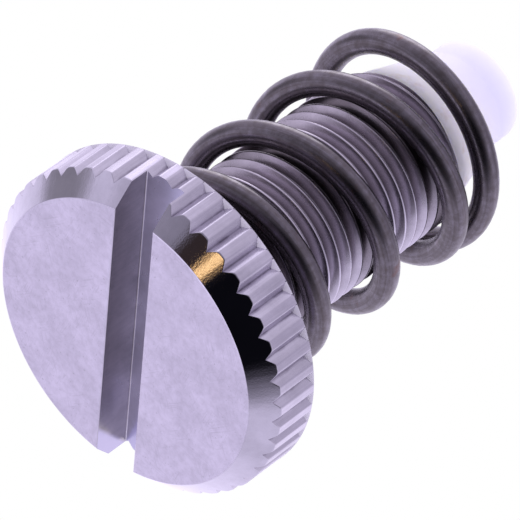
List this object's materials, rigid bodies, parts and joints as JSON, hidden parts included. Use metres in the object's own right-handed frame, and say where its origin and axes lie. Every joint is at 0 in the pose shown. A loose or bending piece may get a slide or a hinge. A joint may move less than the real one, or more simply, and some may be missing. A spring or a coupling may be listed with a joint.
{
  "type": "adjusting screw",
  "caption": "Slotted, knurled adjusting screw with a fine-threaded shank, a compression spring round it and a tapered nylon tip.",
  "frame": {"origin": "centre of the head's flat slotted face, which the part stands on", "axes": "+Z along the screw's axis from the head to the tip, +X along the screwdriver slot"},
  "size_m": [0.016, 0.016, 0.024],
  "materials": {
    "steel": "satin, fine scratches",
    "spring_steel": "dark oiled wire, slight rust",
    "nylon": "translucent white"
  },
  "bodies": {
    "root": {"screw": "steel", "spring": "spring_steel", "nylon_tip": "nylon"}
  },
  "joints": []
}
